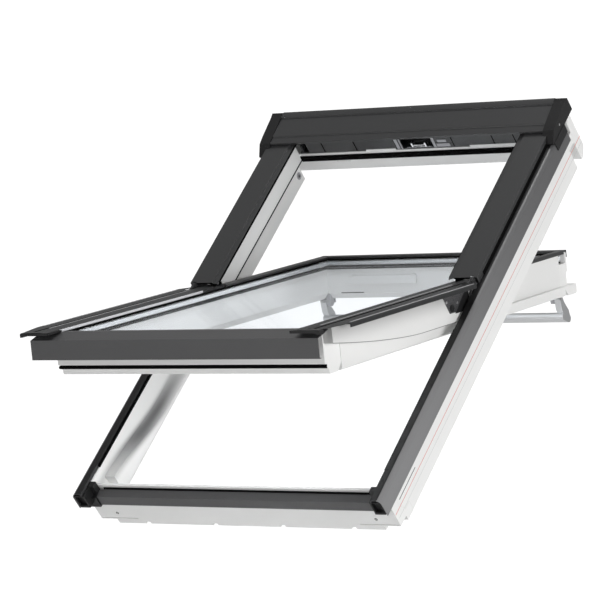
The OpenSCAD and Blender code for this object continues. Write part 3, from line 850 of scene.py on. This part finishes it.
class Palette:
    """All finishes of the window, built once."""

    def __init__(self) -> None:
        """Builds the groups and the materials."""
        groups = {"grain": grain_group(), "dust": dust_group(), "drawn": drawn_group(),
                  "groove": groove_group(), "under_cover": under_cover_group(), "flank": painted_flank_light_group()}
        self.materials = {f.slot: f.build(groups) for f in FINISHES}
        glass = GlassFinish()
        self.materials[glass.slot] = glass.build()
        self.slots = {s["node"]: s["material_slot"] for s in frame["record"]["subparts"]}

    def dress(self, obj: Piece, slot: str) -> None:
        """Gives a piece one finish.

        Args:
            obj: The piece.
            slot: The record's material slot.
        """
        obj.data.materials.clear()
        obj.data.materials.append(self.materials[slot])
        for polygon in obj.data.polygons:
            polygon.material_index = 0

    def reshade(self, name: str, finish: str) -> None:
        """Gives a finished piece the form of its finish with painted light or shade."""
        bpy.data.objects[name].data.materials[0] = self.materials[finish]


# ---- Sub-assemblies ------------------------------------------------------------


@dataclass(frozen=True)
class Strip:
    """A strip up the slope, made on both sides of the window.

    Attributes:
        stem: Start of its name, before the side.
        section: Its convex section as (across, outwards) in millimetres, anticlockwise, for
            the right-hand side.
        span: Where it starts and ends up the slope, in millimetres.
        finish: Name of its finish.
        bevel: Width of its bevel in millimetres, or 0 for sharp edges.
        marked: Whether it is only a mark.
    """

    stem: str
    section: Section
    span: tuple[float, float]
    finish: str
    bevel: float = 0.0
    marked: bool = False


@dataclass(frozen=True)
class Block:
    """A block between two corners.

    Attributes:
        name: Its name.
        low: Its lowest corner as (across, up the slope, outwards) in millimetres.
        high: Its highest corner, in the same way.
        finish: Name of its finish.
        bevel: Width of its bevel in millimetres.
        marked: Whether it is only a mark.
    """

    name: str
    low: tuple[float, float, float]
    high: tuple[float, float, float]
    finish: str
    bevel: float
    marked: bool = False


@dataclass
class SubAssembly:
    """A group of pieces that belong together, with all sizes in millimetres.

    Attributes:
        palette: The finishes.
        rounded: Each node that is refined, with the width of its bevel in millimetres.
        plain: Nodes that keep their CAD mesh.
        shaded: Stems of paired nodes that take the form of their finish with painted light or shade.
        strips: Strips that are added on both sides.
        blocks: Blocks that are added.
        place: The plane that the added pieces are drawn in.
        body: The body that the added pieces ride on.
        log_name: Name of the group in the log.
    """

    palette: Palette
    rounded: dict[str, float] = field(default_factory=dict)
    plain: tuple[str, ...] = ()
    shaded: dict[str, str] = field(default_factory=dict)
    strips: tuple[Strip, ...] = ()
    blocks: tuple[Block, ...] = ()
    place: Place = Place.ROOF
    body: str = "frame"
    log_name: str = "assembly"

    def build(self) -> None:
        """Refines and dresses the CAD pieces, and adds the new ones."""
        for node, width in self.rounded.items():
            piece = refine(node, width / MM_PER_M)
            self.palette.dress(piece, self.palette.slots[node])
            self.report(piece)
        for node in self.plain:
            self.palette.dress(frame["nodes"][node], self.palette.slots[node])
            LOG.info("%s: %s as built", self.log_name, node)
        for side in Side:
            for stem, finish in self.shaded.items():
                self.palette.reshade(f"{stem}_{side.tag}_finished", finish)
            for strip in self.strips:
                name = f"{strip.stem}_{side.tag}"
                piece = new_strip(name, side, strip.section, strip.span, self.place, strip.bevel)
                self.keep(piece, strip.finish, strip.marked)
            self.add_side_details(side)
        for block in self.blocks:
            corners = mm(*block.low), mm(*block.high)
            piece = new_block(block.name, *corners, block.bevel / MM_PER_M, self.place)
            self.keep(piece, block.finish, block.marked)

    def add_side_details(self, side: Side) -> None:
        """Adds what only this sub-assembly has on one side."""

    def report(self, obj: Piece) -> None:
        """Logs a finished piece."""
        LOG.info("%s: %s with %d faces", self.log_name, obj.name, len(obj.data.polygons))

    def keep(self, obj: Piece, finish: str, marked: bool = False) -> None:
        """Dresses a new piece and lets it ride on the sub-assembly's body.

        Args:
            obj: The piece.
            finish: Name of its finish.
            marked: Whether it is only a mark.
        """
        if marked:
            obj.data.materials.clear()
            obj.data.materials.append(self.palette.materials[finish])
        else:
            self.palette.dress(obj, finish)
        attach(obj, self.body)
        self.report(obj)


def both(stem: str, width: float) -> dict[str, float]:
    """The left and right node of a pair, with their bevel."""
    return {stem + "_left": width, stem + "_right": width}


@dataclass
class OuterFrame(SubAssembly):
    """The white frame with its seals, the marks on its flank, the red one printed and the dark ones painted
    shade, and its screw recesses with painted shade.
    """

    rounded: dict[str, float] = field(default_factory=lambda: {
        **both("jamb", 1.6), "head": 1.6, "sill": 1.6, **both("upper_gasket", 0.8),
        **both("lower_gasket", 0.3), "head_gasket": 0.5, "sill_gasket": 0.5})
    plain: tuple[str, ...] = ("bolt_bush",)
    # The jambs take painted shade along their curved step.
    shaded: dict[str, str] = field(default_factory=lambda: {"jamb": "white_jamb_painted_shade"})
    strips: tuple[Strip, ...] = (
        Strip("flank_line", oblong(390.0, 390.12, -80.7, -79.3), (3.0, 1176.0), "marking_red", marked=True),
        # The dark slot line and the grey edge line are painted shade of a slot and of an edge.
        Strip("flank_slot", oblong(390.0, 390.1, -68.9, -67.1), (36.0, 128.0), "recess_painted_shade", marked=True),
        Strip("flank_edge", oblong(390.0, 390.08, -95.3, -94.7), (8.0, 1176.0), "edge_line_painted_shade", marked=True))
    recess_place: tuple[float, float, float] = (337.0, -0.02, -92.0)
    recess_inner: float = 2.1
    recess_outer: float = 3.6
    recess_corners: int = 32
    log_name: str = "frame"

    def add_side_details(self, side: Side) -> None:
        """Adds a flat dark ring of painted shade for the countersunk rim around the screw hole in the sill.

        Args:
            side: The side that it is on.
        """
        u, v, w = self.recess_place
        deselect()
        bpy.ops.mesh.primitive_circle_add(
            vertices=self.recess_corners, radius=self.recess_outer / MM_PER_M, fill_type="NGON",
            location=mm(side.value * u, v, w), rotation=(math.pi / 2, 0.0, 0.0))
        rim = bpy.context.object
        rim.name = f"screw_recess_{side.tag}"
        enter("EDIT")
        bpy.ops.mesh.select_all(action="SELECT")
        bpy.ops.mesh.inset(thickness=(self.recess_outer - self.recess_inner) / MM_PER_M)
        bpy.ops.mesh.delete(type="FACE")
        enter("OBJECT")
        self.keep(settle(rim, self.place), "recess_painted_shade", marked=True)


@dataclass
class FrameCovers(SubAssembly):
    """The sheet-metal covers and plastic ends on the frame, and the panels under the hood."""

    rounded: dict[str, float] = field(default_factory=lambda: {
        **both("side_cladding", 0.4), **both("upper_cover", 0.5), "top_hood": 0.5,
        **both("hood_cap", 1.6), "sill_cover": 0.5, **both("sill_corner", 1.2), "vent_channel": 0.6})
    plain: tuple[str, ...] = ("lock_striker", "frame_screws", "frame_hinge_left", "frame_hinge_right")
    # The side cladding takes painted light on its flank.
    shaded: dict[str, str] = field(default_factory=lambda: {"side_cladding": "cladding_flank"})
    strips: tuple[Strip, ...] = (
        Strip("cover_band", ((382.1, 0.4), (384.6, 0.4), (384.6, 5.0), (383.2, 15.0), (382.1, 16.0)),
              (640.0, 1092.0), "rubber", 0.3),
        Strip("cover_stop", ((336.0, -18.9), (376.5, -18.9), (376.5, 15.8), (336.0, 12.0)),
              (657.0, 659.5), "rubber", 0.3),
        Strip("cover_lip", ((306.2, 9.6), (308.3, 9.6), (308.3, 13.6), (307.0, 13.2)),
              (620.0, 1094.0), "rubber", 0.2),
        Strip("cover_plate_end", oblong(322.4, 364.6, 11.9, 16.6), (614.2, 615.8), "rubber", 0.2))
    blocks: tuple[Block, ...] = (
        Block("vent_panel_left", (-306.0, 1114.8, -42.5), (-42.0, 1116.6, 11.0), "dark_cladding", 0.4),
        Block("vent_panel_right", (42.0, 1114.8, -42.5), (306.0, 1116.6, 11.0), "dark_cladding", 0.4),
        Block("vent_panel_middle", (-42.0, 1114.8, -12.0), (42.0, 1116.6, 11.0), "dark_cladding", 0.4),
        Block("vent_strip_left", (-146.0, 1113.9, -45.8), (-64.0, 1116.4, -39.5), "white_coat", 0.5),
        Block("vent_strip_right", (138.0, 1113.9, -45.8), (304.0, 1116.4, -39.5), "white_coat", 0.5),
        Block("vent_arm_0", (-58.0, 1113.6, -42.0), (-50.0, 1114.8, 8.0), "grey_plastic", 0.5),
        Block("vent_arm_1", (-46.0, 1113.6, -42.0), (-42.5, 1114.8, 4.0), "grey_plastic", 0.5),
        Block("vent_arm_2", (43.0, 1113.6, -42.0), (50.0, 1114.8, 2.0), "grey_plastic", 0.5),
        Block("vent_arm_3", (52.0, 1113.6, -40.0), (88.0, 1114.8, -30.0), "grey_plastic", 0.5),
        Block("vent_arm_4", (58.0, 1113.6, -26.0), (82.0, 1114.8, -18.0), "grey_plastic", 0.5))
    top_fold: tuple[tuple[float, float], ...] = ((388.0, 0.15), (391.5, -0.35))
    top_parts: tuple[tuple[str, float, tuple[float, float]], ...] = (
        ("lower", 375.2, (-28.0, 612.0)), ("upper", 382.2, (613.0, 1120.0)))
    top_thickness: float = 0.25
    joint_low: tuple[float, float, float] = (-262.0, 1114.5, -42.0)
    joint_high: tuple[float, float, float] = (-259.4, 1114.8, 11.0)
    joint_bevel: float = 0.1
    joint_shifts: tuple[float, ...] = (90.0, 202.0, 358.0, 467.0, 524.0)
    log_name: str = "frame covers"

    def build(self) -> None:
        """Builds the sub-assembly, then the joints between the panels, one made and copied."""
        super().build()
        corners = mm(*self.joint_low), mm(*self.joint_high)
        first = new_block("vent_joint_0", *corners, self.joint_bevel / MM_PER_M, self.place)
        copies = [copy_across(first, f"vent_joint_{n}", shift / MM_PER_M)
                  for n, shift in enumerate(self.joint_shifts, 1)]
        for joint in (first, *copies):
            self.keep(joint, "rubber")

    def add_side_details(self, side: Side) -> None:
        """Adds the black sheet on top of the side cladding, in a lower and an upper part; it is partly a dark
        rail and partly painted shade that makes the top darker than the flank.

        Args:
            side: The side that it is on.
        """
        for part, start, span in self.top_parts:
            line = ((start, self.top_fold[0][1]), *self.top_fold)
            name = f"cladding_top_{part}_{side.tag}"
            self.keep(new_fold(name, side, line, self.top_thickness, span, self.place), "black_plastic")


@dataclass
class Sash(SubAssembly):
    """The white sash with its glazing, beads and joint lines, which are flat dark marks, partly joints and
    partly painted shade.
    """

    rounded: dict[str, float] = field(default_factory=lambda: {
        **both("stile", 1.6), "top_rail": 1.6, "bottom_rail": 1.6, "outer_seal": 0.3,
        "inner_seal": 0.6, "bottom_seal": 0.6, "pane_spacer": 0.4})
    plain: tuple[str, ...] = ("outer_pane", "inner_pane")
    # The stiles take painted shadow below their side covers.
    shaded: dict[str, str] = field(default_factory=lambda: {"stile": "white_stile_painted_shade"})
    strips: tuple[Strip, ...] = (
        Strip("glazing_bead", ((309.4, -1.35), (313.2, -1.35), (313.2, 1.6), (311.2, 2.6), (309.4, 0.4)),
              (18.0, 1094.0), "rubber", 0.3),
        Strip("lower_bead", ((302.2, -22.6), (303.9, -22.6), (303.9, -19.0), (302.6, -19.0)),
              (94.0, 1070.0), "rubber", 0.3))
    blocks: tuple[Block, ...] = (
        Block("lower_bead_top", (-303.8, 1069.6, -22.6), (303.8, 1071.8, -19.0), "rubber", 0.3),
        Block("glazing_bead_top", (-309.0, 1089.0, -1.35), (309.0, 1094.5, 2.0), "rubber", 0.4),
        Block("rail_edge", (-303.0, 1070.9, -81.5), (303.0, 1071.9, -78.5), "white_coat", 0.3),
        # The rail slot is a flat dark mark of painted shade.
        Block("rail_slot", (-267.0, 1070.6, -81.0), (-203.0, 1070.9, -78.8), "recess_painted_shade", 0.2, marked=True))
    place: Place = Place.SASH
    body: str = "sash"
    joint_x: float = 368.06
    joint_span: tuple[float, float] = (30.0, 594.0)
    joint_steps: int = 40
    joint_stub: float = 0.1
    joint_tall: float = 1.3
    joint_base: float = -67.2
    joint_bend: float = 387.0
    joint_rate: float = 0.00565
    joint_power: float = 1.5
    log_name: str = "sash"

    def joint_height(self, v: float) -> float:
        """Lower side of the joint line at a place up the slope, in millimetres."""
        return self.joint_base + self.joint_rate * max(self.joint_bend - v, 0.0) ** self.joint_power

    def add_side_details(self, side: Side) -> None:
        """Adds the dark joint under the curved lower edge of the sash's wide part, as a flat grey mark that
        is partly the joint and partly painted shadow under the edge.

        Args:
            side: The side that it is on.
        """
        start, end = self.joint_span
        middle = mm(side.value * self.joint_x, start - self.joint_stub / 2,
                    self.joint_height(start) + self.joint_tall / 2)
        line = new_plane(f"sash_joint_{side.tag}", middle, mm(self.joint_tall, self.joint_stub, MM_PER_M),
                         (0.0, math.pi / 2, 0.0))
        pick_edge(line, 1, start / MM_PER_M)
        step = (end - start) / self.joint_steps
        for n in range(self.joint_steps):
            v = start + step * n
            extrude(mm(0.0, step, self.joint_height(v + step) - self.joint_height(v)))
        enter("OBJECT")
        self.keep(settle(line, self.place), "joint_and_painted_shadow", marked=True)


@dataclass
class SashCovers(SubAssembly):
    """The covers on the sash, with painted highlights along their ridges and black lines along them."""

    rounded: dict[str, float] = field(default_factory=lambda: {
        "bottom_cover": 0.5, **both("sash_cover", 0.5), **both("cover_end", 1.6),
        **both("sash_profile", 0.5), "top_cover": 0.5})
    # The sash covers take the darker copy of the cladding, as painted shade.
    shaded: dict[str, str] = field(default_factory=lambda: {"sash_cover": "sash_cladding_painted_shade"})
    strips: tuple[Strip, ...] = (
        # The thin near-white strips are painted highlights on the covers.
        Strip("cover_ridge", ((393.0, 10.1), (395.8, 10.15), (395.3, 10.8), (393.5, 10.75)),
              (62.0, 572.0), "ridge_painted_highlight", marked=True),
        Strip("cover_painted_shine", ((313.95, 3.2), (313.95, 9.0), (313.6, 8.6), (313.6, 3.6)),
              (10.0, 560.0), "ridge_painted_highlight", marked=True),
        Strip("cover_seam", oblong(356.0, 362.0, 9.8, 10.15), (-18.0, 600.0), "rubber"),
        Strip("cover_fin", oblong(322.9, 324.3, 8.6, 15.8), (617.0, 652.0), "rubber", 0.2),
        Strip("cover_crest", ((347.2, 10.9), (348.8, 10.9), (348.5, 11.4), (347.5, 11.4)),
              (20.0, 560.0), "ridge_painted_highlight", marked=True))
    place: Place = Place.SASH
    body: str = "sash"
    log_name: str = "sash covers"


@dataclass
class Hardware(SubAssembly):
    """Hinges with their backing plates and bosses, lock, bar and bolt."""

    rounded: dict[str, float] = field(default_factory=lambda: {
        **both("sash_hinge", 0.3), "control_bar": 1.2, **both("bar_bracket", 0.8), "vent_flap": 0.6,
        "lock_case": 0.6, "lock_latch": 0.5, "bolt_housing": 0.8, "air_filter": 1.0})
    plain: tuple[str, ...] = ("sash_screws", "barrel_bolt")
    strips: tuple[Strip, ...] = (
        Strip("hinge_back", oblong(368.05, 368.25, -48.0, -3.0), (530.0, 593.0), "black_plastic"),)
    place: Place = Place.SASH
    body: str = "sash"
    hinge_face: float = 370.3
    boss_place: tuple[float, float] = (513.0, -34.0)
    boss_radius: float = 8.5
    boss_depth: float = 1.4
    boss_corners: int = 40
    boss_insets: tuple[tuple[float, float], ...] = ((0.35, 0.8), (0.25, -0.5))
    boss_bevel: float = 0.2
    log_name: str = "hardware"

    def add_side_details(self, side: Side) -> None:
        """Adds a round boss with a stepped face on the hinge plate.

        Args:
            side: The side that it is on.
        """
        deselect()
        across = side.value * (self.hinge_face + self.boss_depth / 2)
        bpy.ops.mesh.primitive_cylinder_add(
            vertices=self.boss_corners, radius=self.boss_radius / MM_PER_M,
            depth=self.boss_depth / MM_PER_M, rotation=(0.0, math.pi / 2, 0.0),
            location=mm(across, *self.boss_place))
        boss = bpy.context.object
        boss.name = f"hinge_boss_{side.tag}"
        bpy.ops.object.transform_apply(location=True, rotation=True, scale=True)
        pick_faces(boss, Vector((side.value, 0.0, 0.0)))
        for share, rise in self.boss_insets:
            bpy.ops.mesh.inset(thickness=share * self.boss_radius / MM_PER_M)
            extrude(mm(side.value * rise, 0.0, 0.0))
        enter("OBJECT")
        bevel(boss, self.boss_bevel / MM_PER_M)
        self.keep(settle(boss, self.place), "black_plastic")


# ---- Studio --------------------------------------------------------------------


@dataclass(frozen=True)
class Lamp:
    """A soft area light.

    Attributes:
        name: Its name.
        place: Where it stands, in metres.
        size: Its width and height in metres.
        power: Its power in watts.
    """

    name: str
    place: tuple[float, float, float]
    size: tuple[float, float]
    power: float


@dataclass
class Studio:
    """Floor, lights and camera, with all lengths in metres but for the lens and its sensor."""

    floor_drop: float = 0.35
    floor_size: float = 60.0
    floor_tone: float = 0.90
    floor_rough: float = 0.9
    seen_white: float = 1.1
    soft_light: float = 0.34
    focal_mm: float = 197.2
    sensor_mm: float = 36.0
    clip: tuple[float, float] = (0.1, 200.0)
    eye: tuple[float, float, float] = (4.0904, -6.0826, 0.4125)
    forward: tuple[float, float, float] = (-0.54433, 0.83886, 0.00513)
    upward: tuple[float, float, float] = (0.0127, 0.00214, 0.99992)
    lamps: tuple[Lamp, ...] = (
        Lamp("key", (5.2, -1.2, 0.4), (2.2, 2.2), 165.0),
        Lamp("fill", (-1.0, -5.0, -0.2), (3.0, 1.6), 60.0),
        Lamp("top", (0.4, 1.2, 4.6), (2.4, 1.0), 90.0))

    def build(self) -> None:
        """Builds the whole studio."""
        self.build_floor()
        self.build_world()
        for lamp in self.lamps:
            self.build_lamp(lamp)
        self.build_camera()
        bpy.context.scene.view_settings.view_transform = "Standard"
        bpy.context.scene.view_settings.look = "None"

    def white_where_seen(self, tree: Tree, lit: Socket, kind: str, output: str) -> None:
        """Shows plain white to the camera and through glass, and another shader to the rest.

        Args:
            tree: The node tree of the floor or the world.
            lit: The shader socket that the other rays meet.
            kind: The kind of node that shows white.
            output: Name of the tree's output node.
        """
        white = tree.nodes.new(kind)
        fill(white, {"Color": (1.0, 1.0, 1.0, 1.0), "Strength": self.seen_white})
        path = tree.nodes.new("ShaderNodeLightPath")
        direct = tree.nodes.new("ShaderNodeMath")
        direct.operation = "MAXIMUM"
        either = tree.nodes.new("ShaderNodeMixShader")
        join(path, "Is Camera Ray", direct, 0)
        join(path, "Is Transmission Ray", direct, 1)
        join(direct, 0, either, "Fac")
        tree.links.new(lit, either.inputs[1])
        join(white, 0, either, 2)
        tree.links.new(either.outputs["Shader"], tree.nodes[output].inputs["Surface"])

    def build_floor(self) -> None:
        """A plain pale floor under the window."""
        deselect()
        height = CAD_BOX[0].z - self.floor_drop
        bpy.ops.mesh.primitive_plane_add(size=self.floor_size, location=(0.0, 0.0, height))
        floor = bpy.context.object
        floor.name = "floor"
        material = bpy.data.materials.new("floor")
        material.use_nodes = True
        shader = material.node_tree.nodes["Principled BSDF"]
        fill(shader, {"Base Color": (*[self.floor_tone] * 3, 1.0), "Roughness": self.floor_rough})
        self.white_where_seen(material.node_tree, shader.outputs["BSDF"], "ShaderNodeEmission",
                              "Material Output")
        floor.data.materials.append(material)

    def build_world(self) -> None:
        """A white surround that lights softly."""
        world = bpy.data.worlds.new("studio")
        world.use_nodes = True
        bpy.context.scene.world = world
        sky = world.node_tree.nodes["Background"]
        fill(sky, {"Color": (1.0, 1.0, 1.0, 1.0), "Strength": self.soft_light})
        self.white_where_seen(world.node_tree, sky.outputs["Background"], "ShaderNodeBackground",
                              "World Output")

    def build_lamp(self, lamp: Lamp) -> None:
        """Adds a soft area light that faces the window's middle.

        Args:
            lamp: The light's name, place, size and power.
        """
        deselect()
        place = Vector(lamp.place)
        bpy.ops.object.light_add(type="AREA", location=place)
        light = bpy.context.object
        light.name = lamp.name
        light.data.shape = "RECTANGLE"
        light.data.size, light.data.size_y = lamp.size
        light.data.energy = lamp.power
        light.rotation_mode = "QUATERNION"
        middle = (CAD_BOX[0] + CAD_BOX[1]) / 2
        light.rotation_quaternion = (middle - place).to_track_quat("-Z", "Y")

    def build_camera(self) -> None:
        """The camera, far back with a long lens."""
        data = bpy.data.cameras.new("camera")
        data.lens = self.focal_mm
        data.sensor_width = self.sensor_mm
        data.clip_start, data.clip_end = self.clip
        camera = bpy.data.objects.new("camera", data)
        bpy.context.scene.collection.objects.link(camera)
        back = -Vector(self.forward).normalized()
        right = Vector(self.upward).cross(back).normalized()
        up = back.cross(right)
        turn = Matrix((right, up, back)).transposed().to_4x4()
        camera.matrix_world = Matrix.Translation(Vector(self.eye)) @ turn
        bpy.context.scene.camera = camera


def main() -> None:
    """Builds every sub-assembly, then the studio."""
    palette = Palette()
    for kind in (OuterFrame, FrameCovers, Sash, SashCovers, Hardware):
        kind(palette).build()
    Studio().build()


if __name__ == "__main__":
    main()
